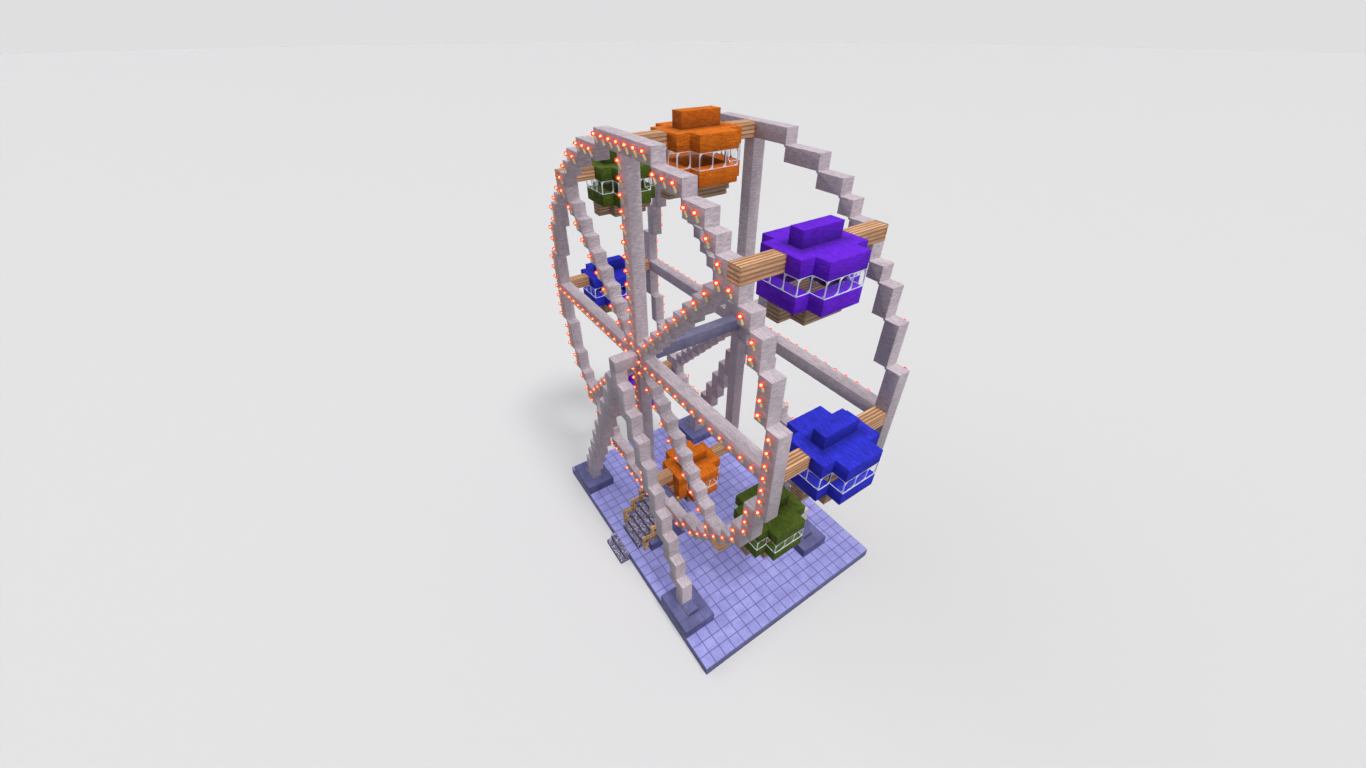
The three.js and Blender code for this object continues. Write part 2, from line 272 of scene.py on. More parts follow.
def effect(name, inputs, outputs):
    group = bpy.data.node_groups.new(name, "ShaderNodeTree")
    for label, kind, value in inputs:
        socket = group.interface.new_socket(name=label, in_out="INPUT", socket_type=kind)
        if value is not None:
            socket.default_value = value
    for label in outputs:
        group.interface.new_socket(name=label, in_out="OUTPUT", socket_type="NodeSocketFloat")
    return group, group.nodes.new("NodeGroupInput"), group.nodes.new("NodeGroupOutput")


def use(tree, group, values=None):
    made = tree.nodes.new("ShaderNodeGroup")
    made.node_tree = group
    for key, value in (values or {}).items():
        if isinstance(value, bpy.types.NodeSocket):
            tree.links.new(value, made.inputs[key])
        else:
            made.inputs[key].default_value = value
    return made


print("finish tools ready")

# %% [markdown]
# Blocks and boards.
# Every block is a metre cube on one grid, and every board is a quarter of a metre wide on the same
# grid, so a finish can find the block that it is on from the Object coordinates alone. The effect
# takes the number of cells to a metre. It gives each cell its own random number, and a mask along
# the cell's edges. Skip leaves an axis out of the mask, and an axis that the surface faces drops
# out by itself: its normal is nearly 1, so that rounding down leaves 1, and elsewhere 0. The
# random number is looked up a little under the surface, so that it is the block's own.

# %% Effect: blocks and boards
FLOAT = "NodeSocketFloat"
VECTOR = "NodeSocketVector"
GRID_SHIFT = (0.5, 0.5, 0.0)
FACING = (0.2, 0.2, 0.2)
UNDER_SURFACE = (-0.05, -0.05, -0.05)
HALF = (0.5, 0.5, 0.5)
DARKEST_PART = 0.4


def faced_axes(tree, normal):
    return vectors(tree, "FLOOR", vectors(tree, "ADD", vectors(tree, "ABSOLUTE", normal), FACING))


cells, start, end = effect("Cells", [
    ("Per Metre", VECTOR, (1, 1, 1)), ("Skip", VECTOR, (0, 0, 0)), ("Joint", FLOAT, 0.03),
], ["Edge", "Cell"])
here = cells.nodes.new("ShaderNodeTexCoord")
laid = vectors(cells, "ADD", here.outputs["Object"], GRID_SHIFT)
under = vectors(cells, "MULTIPLY", here.outputs["Normal"], UNDER_SURFACE)
under = vectors(cells, "MULTIPLY", vectors(cells, "ADD", laid, under), start.outputs["Per Metre"])
chance = node(cells, "ShaderNodeTexWhiteNoise", {"Vector": vectors(cells, "FLOOR", under)})
inside = vectors(cells, "FRACTION", vectors(cells, "MULTIPLY", laid, start.outputs["Per Metre"]))
inside = vectors(cells, "ABSOLUTE", vectors(cells, "SUBTRACT", inside, HALF))
inside = vectors(cells, "SUBTRACT", HALF, inside)
inside = vectors(cells, "ADD", inside, faced_axes(cells, here.outputs["Normal"]))
inside = vectors(cells, "ADD", inside, start.outputs["Skip"])
parts = node(cells, "ShaderNodeSeparateXYZ", {0: inside})
nearest = maths(cells, "MINIMUM", parts.outputs[0], parts.outputs[1])
nearest = maths(cells, "MINIMUM", nearest, parts.outputs[2])
inner = maths(cells, "MULTIPLY", start.outputs["Joint"], DARKEST_PART)
edge = spread(cells, nearest, inner, start.outputs["Joint"], 1.0, 0.0, smooth=True)
cells.links.new(edge, end.inputs["Edge"])
cells.links.new(chance.outputs["Value"], end.inputs["Cell"])
print("effect:", cells.name)

# %% [markdown]
# Combed streaks.
# The coat of the wheel and of the cabins is rough, with fine level streaks, as if it were combed on
# while wet. Noise that is squeezed in height gives streaks on the sides. On top faces, where the
# height doesn't change, the same noise is squeezed across the block instead. A face looks along an
# axis when its normal is over 0.7 that way.

# %% Effect: combed streaks
SWAY = 0.22
LEVEL_STREAKS = (2.2, 2.2, 12.0)
CROSS_STREAKS = (2.2, 12.0, 2.2)
LOOKS_ALONG = 0.7
streaks, start, end = effect("Combed Streaks", [("Fineness", FLOAT, 1.0)], ["Tone"])
here = streaks.nodes.new("ShaderNodeTexCoord")
drift = noise(streaks, here.outputs["Object"], 1.7, detail=2.0)
drift = maths(streaks, "MULTIPLY", maths(streaks, "SUBTRACT", drift, 0.5), SWAY)
drift = node(streaks, "ShaderNodeCombineXYZ", {0: drift, 1: drift, 2: drift}).outputs[0]
waved = vectors(streaks, "ADD", here.outputs["Object"], drift)
level = vectors(streaks, "MULTIPLY", waved, LEVEL_STREAKS)
across = vectors(streaks, "MULTIPLY", waved, CROSS_STREAKS)
upward = node(streaks, "ShaderNodeSeparateXYZ", {0: here.outputs["Normal"]}).outputs[2]
is_top = maths(streaks, "GREATER_THAN", maths(streaks, "ABSOLUTE", upward), LOOKS_ALONG)
combed = node(streaks, "ShaderNodeMix", {0: is_top, 4: level, 5: across}, data_type="VECTOR")
fibres = noise(streaks, combed.outputs[1], start.outputs["Fineness"], detail=4.5, roughness=0.75)
streaks.links.new(spread(streaks, fibres, 0.36, 0.64), end.inputs["Tone"])
print("effect:", streaks.name)

# %% [markdown]
# Weathering.
# Rain leaves soft dark runs on anything that stands outside. A large, slow noise stretched in
# height gives a mask of such runs, and each finish decides how strong they are.

# %% Effect: weathering
RUN_STRETCH = (0.9, 0.9, 0.25)
weather, start, end = effect("Weathering", [("Size", FLOAT, 1.0)], ["Grime"])
here = weather.nodes.new("ShaderNodeTexCoord")
runs = vectors(weather, "MULTIPLY", here.outputs["Object"], RUN_STRETCH)
clouds = noise(weather, runs, start.outputs["Size"], detail=5.0, roughness=0.62)
weather.links.new(spread(weather, clouds, 0.42, 0.72, smooth=True), end.inputs["Grime"])
print("effect:", weather.name)

# %% [markdown]
# Painted corner shade.
# The paint of a cabin is darkened with painted shade where shade falls: on the sides of the ridge,
# most at its foot, on the roof beside it, and, under the bar, on faces that look down and indoors.
# Each roof and tub remembers how far its points are from its bar, and the effect reads that. A
# piece that remembers nothing reads zero everywhere, and isn't darkened.

# %% Effect: painted corner shade
FROM_BAR = "from_bar"
ROOF_TOP = 0.5
RIDGE_TOP = 1.5
RIDGE_SIDE = 0.5
RIDGE_END = 1.5
ROOM_HALF = 1.52
ROOF_SKIN = 0.04
UNDER_BAR = -0.01
# The painted shade: how far it reaches beside the ridge, and its tones at the ridge's corner, foot and head,
# and on covered faces.
BESIDE_RIDGE = 0.8
RIDGE_CORNER_TONE = 0.55
RIDGE_FOOT_TONE = 0.3
RIDGE_HEAD_TONE = 0.82
COVERED_SHADE_TONE = 0.45


def remember_place(piece, centre):
    spots = piece.data.attributes.new(FROM_BAR, "FLOAT_VECTOR", "POINT")
    for point, spot in zip(piece.data.vertices, spots.data):
        spot.vector = point.co - centre


painted_shade, start, end = effect("Painted Corner Shade", [], ["Washed"])
place = node(painted_shade, "ShaderNodeAttribute", attribute_name=FROM_BAR)
x, y, z = node(painted_shade, "ShaderNodeSeparateXYZ", {0: place.outputs["Vector"]}).outputs
out_x = maths(painted_shade, "ABSOLUTE", x)
out_y = maths(painted_shade, "ABSOLUTE", y)
# Painted shade on the roof beside the ridge, darkest against it.
beside_x = maths(painted_shade, "SUBTRACT", out_x, RIDGE_SIDE)
beside_y = maths(painted_shade, "SUBTRACT", out_y, RIDGE_END)
beside = maths(painted_shade, "MAXIMUM", beside_x, beside_y)
beside = spread(painted_shade, beside, 0.0, BESIDE_RIDGE, RIDGE_CORNER_TONE, 1.0, smooth=True)
from_roof = maths(painted_shade, "ABSOLUTE", maths(painted_shade, "SUBTRACT", z, ROOF_TOP))
off_roof = maths(painted_shade, "GREATER_THAN", from_roof, ROOF_SKIN)
# Painted shade on the ridge's sides, darkest at its foot.
up_ridge = spread(painted_shade, z, ROOF_TOP, RIDGE_TOP, RIDGE_FOOT_TONE, RIDGE_HEAD_TONE)
off_ridge = maths(painted_shade, "LESS_THAN", z, ROOF_TOP)
here = painted_shade.nodes.new("ShaderNodeTexCoord")
upward = node(painted_shade, "ShaderNodeSeparateXYZ", {0: here.outputs["Normal"]}).outputs[2]
shade_tone = node(painted_shade, "ShaderNodeMix", {
    0: maths(painted_shade, "GREATER_THAN", upward, LOOKS_ALONG),
    2: maths(painted_shade, "MAXIMUM", up_ridge, off_ridge),
    3: maths(painted_shade, "MAXIMUM", beside, off_roof),
})
# Painted shade under the bar on faces that look down or stand indoors.
looks_down = maths(painted_shade, "LESS_THAN", upward, -LOOKS_ALONG)
indoors = maths(painted_shade, "LESS_THAN", maths(painted_shade, "MAXIMUM", out_x, out_y), ROOM_HALF)
covered = maths(painted_shade, "MAXIMUM", looks_down, indoors)
covered_shade = maths(painted_shade, "MULTIPLY", covered, maths(painted_shade, "LESS_THAN", z, UNDER_BAR))
covered_shade_tone = spread(painted_shade, covered_shade, 0.0, 1.0, 1.0, COVERED_SHADE_TONE)
shade_tone = maths(painted_shade, "MULTIPLY", shade_tone.outputs[0], covered_shade_tone)
painted_shade.links.new(shade_tone, end.inputs["Washed"])
print("effect:", painted_shade.name)

# %% [markdown]
# Wood grain.
# Timber shows long thin fibres along the board. The group takes the place to read, so the same
# grain can run along a level board or up a post.

# %% Effect: wood grain
FINE_FIBRES = (34, 2.2, 34)
BROAD_FIBRES = (7, 0.8, 7)
grain, start, end = effect("Wood Grain", [("Place", VECTOR, None)], ["Tone"])
fine = vectors(grain, "MULTIPLY", start.outputs["Place"], FINE_FIBRES)
fine = noise(grain, fine, 1.0, 4.0, 0.65)
broad = vectors(grain, "MULTIPLY", start.outputs["Place"], BROAD_FIBRES)
broad = noise(grain, broad, 1.0, 2.0, 0.5)
both = maths(grain, "ADD", maths(grain, "MULTIPLY", fine, 0.6), maths(grain, "MULTIPLY", broad, 0.4))
grain.links.new(spread(grain, both, 0.36, 0.64), end.inputs["Tone"])
print("effect:", grain.name)

# %% [markdown]
# Stone grain.
# Stone has slow clouds of tone and small speckles. Both come from noise at two scales.

# %% Effect: stone grain
stone, start, end = effect("Stone Grain", [("Scale", FLOAT, 1.0)], ["Cloud", "Speckle"])
here = stone.nodes.new("ShaderNodeTexCoord")
sized = node(stone, "ShaderNodeVectorMath", {
    0: here.outputs["Object"], "Scale": start.outputs["Scale"],
}, operation="SCALE").outputs[0]
stone.links.new(spread(stone, noise(stone, sized, 0.8, 4.0), 0.35, 0.65), end.inputs["Cloud"])
stone.links.new(spread(stone, noise(stone, sized, 9.0, 5.0, 0.75), 0.35, 0.65), end.inputs["Speckle"])
print("effect:", stone.name)

# %% [markdown]
# The combed coat.
# One recipe finishes the wheel and the cabins: a light and a deep tone mixed by the streaks, a
# little difference from block to block, painted corner shade on the cabins, soft dark runs, and
# bump and roughness from the streaks.
# Each finish has its own three colours: light, deep and grimy.

# %% Finish: combed coat
DARKEST_BLOCK = 0.92
BLOCK_JOINT = 0.93
COAT_GRIME = 0.35


def new_finish(name):
    material = bpy.data.materials.new(name)
    material.use_nodes = True
    tree = material.node_tree
    return material, tree, tree.nodes["Principled BSDF"]


def bump(tree, shader, height, strength, distance):
    made = node(tree, "ShaderNodeBump", {"Height": height, "Strength": strength, "Distance": distance})
    tree.links.new(made.outputs[0], shader.inputs["Normal"])


def shaded(tree, colour, *factors):
    product = factors[0]
    for factor in factors[1:]:
        product = maths(tree, "MULTIPLY", product, factor)
    grey = node(tree, "ShaderNodeCombineColor", {0: product, 1: product, 2: product}).outputs[0]
    return colours(tree, 1.0, colour, grey, "MULTIPLY")


def combed_coat(name, light, deep, grime):
    material, tree, shader = new_finish(name)
    tone = use(tree, streaks, {"Fineness": 1.0}).outputs["Tone"]
    block = use(tree, cells, {"Joint": 0.03}).outputs
    dirt = use(tree, weather, {"Size": 1.0}).outputs["Grime"]
    base = colours(tree, tone, (*deep, 1), (*light, 1))
    # The cabins' painted corner shade darkens the coat here too.
    base = shaded(
        tree, base,
        spread(tree, block["Cell"], 0.0, 1.0, DARKEST_BLOCK, 1.0),
        spread(tree, block["Edge"], 0.0, 1.0, 1.0, BLOCK_JOINT),
        use(tree, painted_shade).outputs["Washed"],
    )
    base = colours(tree, maths(tree, "MULTIPLY", dirt, COAT_GRIME), base, (*grime, 1))
    tree.links.new(base, shader.inputs["Base Color"])
    tree.links.new(spread(tree, tone, 0.0, 1.0, 0.97, 0.82), shader.inputs["Roughness"])
    shader.inputs["Specular IOR Level"].default_value = 0.2
    bump(tree, shader, tone, 0.55, 0.02)
    return material


pale_coat = combed_coat("pale_coat", (0.69, 0.60, 0.66), (0.405, 0.345, 0.39), (0.36, 0.325, 0.36))
cabin_paint = {
    "orange": combed_coat("orange_paint", (0.90, 0.225, 0.012), (0.47, 0.10, 0.006), (0.38, 0.085, 0.007)),
    "purple": combed_coat("purple_paint", (0.19, 0.02, 0.90), (0.098, 0.011, 0.50), (0.08, 0.010, 0.36)),
    "blue": combed_coat("blue_paint", (0.037, 0.043, 0.78), (0.019, 0.022, 0.41), (0.014, 0.019, 0.27)),
    "green": combed_coat("green_paint", (0.110, 0.165, 0.018), (0.040, 0.066, 0.008), (0.034, 0.058, 0.008)),
}
print("finishes:", pale_coat.name, *[m.name for m in cabin_paint.values()])

# %% [markdown]
# Timber.
# The bars, the railings and the cabin floors are brown boards, four to the metre. The tone follows
# the grain, each board differs a little, and the seams between boards are dark: partly their own
# colour and partly painted shadow in the grooves. No seam crosses a board, and an end face has level
# seams only and can be lightened with painted light. The grain of a post runs upwards, so its
# coordinates are turned before they reach the group. A post has no seams, but its tone changes more
# from one quarter of a metre to the next.

# %% Finish: timber
BOARDS = {"Per Metre": (4, 0.12, 4), "Joint": 0.3}
BOARD_TONES = (0.74, 1.12)
POST_TONES = (0.45, 1.3)
SEAM_DEPTH = 0.9


def timber_finish(name, light, deep, seam=None, upright=False, end_light=1.0, board_tones=BOARD_TONES):
    material, tree, shader = new_finish(name)
    spot = tree.nodes.new("ShaderNodeTexCoord")
    here = spot.outputs["Object"]
    if upright:
        split = node(tree, "ShaderNodeSeparateXYZ", {0: here}).outputs
        here = node(tree, "ShaderNodeCombineXYZ", {0: split[0], 1: split[2], 2: split[1]}).outputs[0]
    tone = use(tree, grain, {"Place": here}).outputs["Tone"]
    faced = node(tree, "ShaderNodeSeparateXYZ", {0: faced_axes(tree, spot.outputs["Normal"])}).outputs
    skip = node(tree, "ShaderNodeCombineXYZ", {0: faced[1], 1: 1.0, 2: 0.0}).outputs[0]
    board = use(tree, cells, {**BOARDS, "Skip": skip}).outputs
    base = colours(tree, tone, (*deep, 1), (*light, 1))
    base = shaded(
        tree, base,
        spread(tree, board["Cell"], 0.0, 1.0, *board_tones),
        # Painted light: faces that look along the length of a board are made lighter here.
        spread(tree, faced[1], 0.0, 1.0, 1.0, end_light),
    )
    # The dark seam colour is partly painted shadow in the grooves between battens.
    if seam:
        base = colours(tree, maths(tree, "MULTIPLY", board["Edge"], SEAM_DEPTH), base, (*seam, 1))
    tree.links.new(base, shader.inputs["Base Color"])
    tree.links.new(spread(tree, tone, 0.0, 1.0, 0.8, 0.62), shader.inputs["Roughness"])
    bump(tree, shader, tone, 0.4, 0.008)
    return material


timber = timber_finish(
    "timber", (0.88, 0.51, 0.29), (0.52, 0.28, 0.15), (0.26, 0.125, 0.05), end_light=1.35,
)
dark_timber = timber_finish(
    "dark_timber", (0.56, 0.37, 0.235), (0.29, 0.18, 0.105), (0.12, 0.068, 0.035),
)
rail_timber = timber_finish(
    "rail_timber", (0.90, 0.54, 0.22), (0.22, 0.11, 0.03), upright=True, board_tones=POST_TONES,
)
print("finishes:", timber.name, dark_timber.name, rail_timber.name)

# %% [markdown]
# Stone.
# The plinth is paved with pale smooth blocks, each a little different, with dark joints, and painted
# shade makes its sides darker than its top. The footings and the walls beside the stair are the same
# stone, greyer. One recipe makes both: slow clouds mix a light and a deep tone, small speckles and
# the joints darken it, and painted shade darkens the faces that don't look up.

# %% Finish: stone
def smooth_stone(name, light, deep, joint, joint_width, joint_depth, side_shade):
    material, tree, shader = new_finish(name)
    normal = tree.nodes.new("ShaderNodeTexCoord").outputs["Normal"]
    upward = node(tree, "ShaderNodeSeparateXYZ", {0: normal}).outputs[2]
    block = use(tree, cells, {"Joint": joint_width}).outputs
    rock = use(tree, stone, {"Scale": 1.0}).outputs
    base = colours(tree, rock["Cloud"], (*deep, 1), (*light, 1))
    # The last factor is painted shade: faces that don't look up are darker.
    base = shaded(
        tree, base,
        spread(tree, block["Cell"], 0.0, 1.0, 0.93, 1.0),
        spread(tree, rock["Speckle"], 0.0, 1.0, 0.8, 1.1),
        spread(tree, upward, 0.3, 0.7, side_shade, 1.0),
    )
    seam = maths(tree, "MULTIPLY", block["Edge"], joint_depth)
    tree.links.new(colours(tree, seam, base, (*joint, 1)), shader.inputs["Base Color"])
    tree.links.new(spread(tree, rock["Speckle"], 0.0, 1.0, 0.7, 0.5), shader.inputs["Roughness"])
    shader.inputs["Specular IOR Level"].default_value = 0.25
    relief = maths(tree, "SUBTRACT", maths(tree, "MULTIPLY", rock["Speckle"], 0.2), block["Edge"])
    bump(tree, shader, relief, 0.5, 0.01)
    return material


paving = smooth_stone(
    "paving", (0.37, 0.375, 0.78), (0.28, 0.28, 0.65), (0.15, 0.145, 0.40),
    joint_width=0.07, joint_depth=0.85, side_shade=0.40,
)
pad_stone = smooth_stone(
    "pad_stone", (0.155, 0.155, 0.35), (0.098, 0.098, 0.23), (0.065, 0.065, 0.15),
    joint_width=0.05, joint_depth=0.5, side_shade=0.85,
)
print("finishes:", paving.name, pad_stone.name)

# %% [markdown]
# Mottled stone.
# The steps are rough, like pebbles set in mortar. The cells of a Voronoi pattern give each pebble
# its own tone, and the distance to a cell's edge gives the dark gaps and raises the pebble. Painted
# shade makes the risers, which face the front, darker than the treads.

# %% Finish: mottled stone
PEBBLES = 6.0
PEBBLE_DARK = (0.10, 0.092, 0.16, 1)
PEBBLE_PALE = (0.62, 0.56, 0.80, 1)
PEBBLE_DUST = (0.30, 0.28, 0.40, 1)
BETWEEN_PEBBLES = (0.055, 0.05, 0.09, 1)
RISER_SHADE = (0.045, 0.042, 0.075, 1)


def mottled_stone(name):
    material, tree, shader = new_finish(name)
    here = tree.nodes.new("ShaderNodeTexCoord")
    laid = {"Vector": here.outputs["Object"], "Scale": PEBBLES, "Randomness": 0.9}
    pebbles = node(tree, "ShaderNodeTexVoronoi", laid, feature="DISTANCE_TO_EDGE")
    patch = node(tree, "ShaderNodeTexVoronoi", laid, feature="F1")
    rock = use(tree, stone, {"Scale": 2.0})
    raised = spread(tree, pebbles.outputs["Distance"], 0.02, 0.16, smooth=True)
    split = node(tree, "ShaderNodeSeparateXYZ", {0: patch.outputs["Color"]}).outputs[0]
    base = colours(tree, split, PEBBLE_DARK, PEBBLE_PALE)
    base = colours(tree, maths(tree, "MULTIPLY", rock.outputs["Speckle"], 0.25), base, PEBBLE_DUST)
    base = colours(tree, raised, BETWEEN_PEBBLES, base)
    # Painted shade: risers, the faces that look towards -Y, are darker.
    facing = node(tree, "ShaderNodeSeparateXYZ", {0: here.outputs["Normal"]}).outputs[1]
    riser_shade = maths(tree, "LESS_THAN", facing, -LOOKS_ALONG)
    base = colours(tree, maths(tree, "MULTIPLY", riser_shade, 0.7), base, RISER_SHADE)
    tree.links.new(base, shader.inputs["Base Color"])
    tree.links.new(spread(tree, raised, 0.0, 1.0, 0.95, 0.75), shader.inputs["Roughness"])
    bump(tree, shader, raised, 0.8, 0.02)
    return material


step_stone = mottled_stone("step_stone")
print("finish:", step_stone.name)

# %% [markdown]
# Steel, glass and lamps.
# The axle is smooth blue-grey steel. The panes are clear with a faint blue tint, and their frames
# are pale enamel. A lamp has a golden stick and a red head, partly clear, so that its small hot
# core shows through.

# %% Finish: steel, glass and lamps
def axle_finish():
    material, tree, shader = new_finish("axle_steel")
    brushed = use(tree, streaks, {"Fineness": 0.6}).outputs["Tone"]
    dirt = use(tree, weather, {"Size": 1.4}).outputs["Grime"]
    base = colours(tree, brushed, (0.145, 0.138, 0.235, 1), (0.195, 0.187, 0.31, 1))
    base = colours(tree, maths(tree, "MULTIPLY", dirt, 0.5), base, (0.095, 0.092, 0.15, 1))
    tree.links.new(base, shader.inputs["Base Color"])
    tree.links.new(spread(tree, dirt, 0.0, 1.0, 0.42, 0.7), shader.inputs["Roughness"])
    bump(tree, shader, brushed, 0.15, 0.004)
    return material


def pane_finish():
    material, tree, shader = new_finish("window_glass")
    smear = use(tree, weather, {"Size": 3.0}).outputs["Grime"]
    tree.links.new(colours(tree, smear, (0.72, 0.86, 0.92, 1), (0.80, 0.88, 0.90, 1)),
                   shader.inputs["Base Color"])
    tree.links.new(spread(tree, smear, 0.0, 1.0, 0.03, 0.16), shader.inputs["Roughness"])
    tree.links.new(spread(tree, smear, 0.0, 1.0, 0.03, 0.07), shader.inputs["Alpha"])
    shader.inputs["IOR"].default_value = 1.45
    shader.inputs["Transmission Weight"].default_value = 1.0
    return material


def frame_finish():
    material, tree, shader = new_finish("frame_enamel")
    wear = use(tree, stone, {"Scale": 6.0})
    tree.links.new(colours(tree, wear.outputs["Cloud"], (0.70, 0.80, 0.96, 1), (0.90, 0.92, 1.0, 1)),
                   shader.inputs["Base Color"])
    tree.links.new(spread(tree, wear.outputs["Speckle"], 0.0, 1.0, 0.5, 0.3), shader.inputs["Roughness"])
    bump(tree, shader, wear.outputs["Speckle"], 0.1, 0.002)
    return material


def glow_finish(name, deep, hot, strength, cover=1.0):
    material, tree, shader = new_finish(name)
    here = tree.nodes.new("ShaderNodeTexCoord").outputs["Object"]
    flicker = spread(tree, noise(tree, here, 7.0, 2.0), 0.35, 0.65)
    glow = colours(tree, flicker, (*deep, 1), (*hot, 1))
    tree.links.new(glow, shader.inputs["Base Color"])
    tree.links.new(glow, shader.inputs["Emission Color"])
    shader.inputs["Emission Strength"].default_value = strength
    shader.inputs["Alpha"].default_value = cover
    shader.inputs["Specular IOR Level"].default_value = 0.15
    tree.links.new(spread(tree, flicker, 0.0, 1.0, 0.6, 0.4), shader.inputs["Roughness"])
    return material


axle_steel = axle_finish()
window_glass = pane_finish()
frame_enamel = frame_finish()
lamp_glass = glow_finish("lamp_glass", (0.80, 0.004, 0.002), (1.0, 0.016, 0.006), 0.4, cover=0.86)
lamp_core = glow_finish("lamp_core", (1.0, 0.70, 0.28), (1.0, 0.92, 0.5), 8.0)
lamp_stick = timber_finish("lamp_stick", (1.0, 0.84, 0.50), (0.64, 0.46, 0.20), upright=True)
print("finishes:", axle_steel.name, window_glass.name, frame_enamel.name)
print("lamp finishes:", lamp_glass.name, lamp_core.name, lamp_stick.name)

# %% [markdown]
# Softened blocks.
# A real block never has a perfectly sharp edge: a narrow bevel catches the light. The CAD solids
# have the right shape, so a copy of each is cleaned and bevelled, and stands for its node. The copy
# starts as loose triangles, so its doubles are merged and its flat faces are joined first.

# %% Softened blocks
METAL_EDGE = 0.018
SMALL_EDGE = 0.012
STEP_EDGE = 0.02
STONE_EDGE = 0.025
CABIN_EDGE = 0.025
SHARP = math.radians(35)


def softened(name, width):
    source = nodes[name]
    made = source.copy()
    made.data = source.data.copy()
    for key in list(made.keys()):
        del made[key]
    made.parent = None
    made.name = name + "_blocks"
    made.data.name = made.name
    bpy.context.collection.objects.link(made)
    only(made)
    bpy.ops.object.mode_set(mode="EDIT")
    bpy.ops.mesh.customdata_custom_splitnormals_clear()
    bpy.ops.mesh.select_all(action="SELECT")
    bpy.ops.mesh.remove_doubles(threshold=0.0001)
    bpy.ops.mesh.dissolve_limited(angle_limit=math.radians(1))
    bpy.ops.object.mode_set(mode="OBJECT")
    rounding = made.modifiers.new("edges", "BEVEL")
    rounding.width = width
    rounding.segments = 2
    rounding.limit_method = "ANGLE"
    rounding.angle_limit = math.radians(40)
    bpy.ops.object.modifier_apply(modifier=rounding.name)
    bpy.ops.object.shade_smooth_by_angle(angle=SHARP)
    return made


for name in ["front_rim", "rear_rim", "front_spokes", "rear_spokes"]:
    fit(softened(name, METAL_EDGE), "wheel", pale_coat, "pale_metal", name)
for name in ["front_a_frame", "rear_a_frame"]:
    fit(softened(name, METAL_EDGE), "base", pale_coat, "pale_metal", name)
for name in ["front_bearing", "rear_bearing"]:
    fit(softened(name, SMALL_EDGE), "base", pale_coat, "pale_metal", name)
fit(softened("axle", SMALL_EDGE), "wheel", axle_steel, "axle_metal", "axle")
for place in ["front_left", "front_right", "rear_left", "rear_right"]:
    name = place + "_footing"
    fit(softened(name, STONE_EDGE), "base", pad_stone, "footing_stone", name)
for side in ["left", "right"]:
    name = side + "_stair_wall"
    fit(softened(name, STONE_EDGE), "base", pad_stone, "footing_stone", name)
    name = side + "_railing"
    fit(softened(name, SMALL_EDGE), "base", rail_timber, "timber", name)
for name in ["stair", "lower_steps"]:
    fit(softened(name, STEP_EDGE), "base", step_stone, "tread_stone", name)

# %% [markdown]
# A second stone on one piece.
# Only the eight steps are mottled. The landing behind them is as smooth as the walls, so the stair
# is cut across at the landing's front edge, and the faces behind the cut get the walls' stone. The
# low step at the foot of each leg of a stand is the footings' stone too.

# %% Landing and feet
LANDING_FRONT = -3.5
OVER_FOOT_STEP = 2.51
LEG_OUTER = 9.49


def second_finish(piece, material, test):
    piece.data.materials.append(material)
    bpy.ops.object.mode_set(mode="EDIT")
    select_faces(piece, test)
    piece.active_material_index = 1
    bpy.ops.object.material_slot_assign()
    bpy.ops.object.mode_set(mode="OBJECT")
    print(piece.name, "has", len([f for f in piece.data.polygons if f.material_index]), "smooth faces")


stair = only(bpy.data.objects["stair_blocks"])
bpy.ops.object.mode_set(mode="EDIT")
bpy.ops.mesh.select_all(action="SELECT")
bpy.ops.mesh.bisect(plane_co=(0, LANDING_FRONT, 0), plane_no=(0, 1, 0))
bpy.ops.object.mode_set(mode="OBJECT")
second_finish(stair, pad_stone, lambda centre, normal: centre.y > LANDING_FRONT)
for name in ["front_a_frame_blocks", "rear_a_frame_blocks"]:
    second_finish(only(bpy.data.objects[name]), pad_stone,
                  lambda centre, normal: abs(centre.x) > LEG_OUTER and centre.z < OVER_FOOT_STEP)

# %% [markdown]
# Cabins: roof, tub and glass.
# The roof and the tub are solid coloured blocks, so they are softened in the same way. The glass
# band keeps its CAD shape and only gets its finish.

# %% Cabins: roof, tub and glass
for name, (_, _, colour) in CABINS.items():
    body = name + "_cabin"
    for part in ["roof", "tub"]:
        node_name = f"{name}_cabin_{part}"
        paint = cabin_paint[colour]
        shell = fit(softened(node_name, CABIN_EDGE), body, paint, colour + "_paint", node_name)
        # The place is kept for the painted corner shade of the coat.
        remember_place(shell, bar_centre(name))
    glass = nodes[f"{name}_cabin_windows"]
    glass.data.materials.clear()
    glass.data.materials.append(window_glass)
print("cabins dressed:", len(CABINS))

# %% [markdown]
# Battens.
# The bars and the cabin floors look like stacks of square boards, four to the metre. One batten is
# a metre long, with its edges bevelled. A row is that batten copied and stretched. A stack is rows
# side by side, and only the rows that show are laid, as when a box beam is clad. Its two ends are
# closed by thin boards.

# %% Battens
BATTEN = 0.25
BATTEN_GAP = 0.012
BATTEN_EDGE = 0.03
END_BOARD = 0.03
bpy.ops.object.select_all(action="DESELECT")
bpy.ops.mesh.primitive_cube_add(size=1, location=(0, 0, 0))
batten = bpy.context.object
batten.name = "batten"
batten.scale = (BATTEN - BATTEN_GAP, 1, BATTEN - BATTEN_GAP)
settle(batten)
bpy.ops.object.mode_set(mode="EDIT")
bpy.ops.mesh.select_all(action="SELECT")
bpy.ops.mesh.bevel(offset=BATTEN_EDGE, segments=1, affect="EDGES")
bpy.ops.object.mode_set(mode="OBJECT")


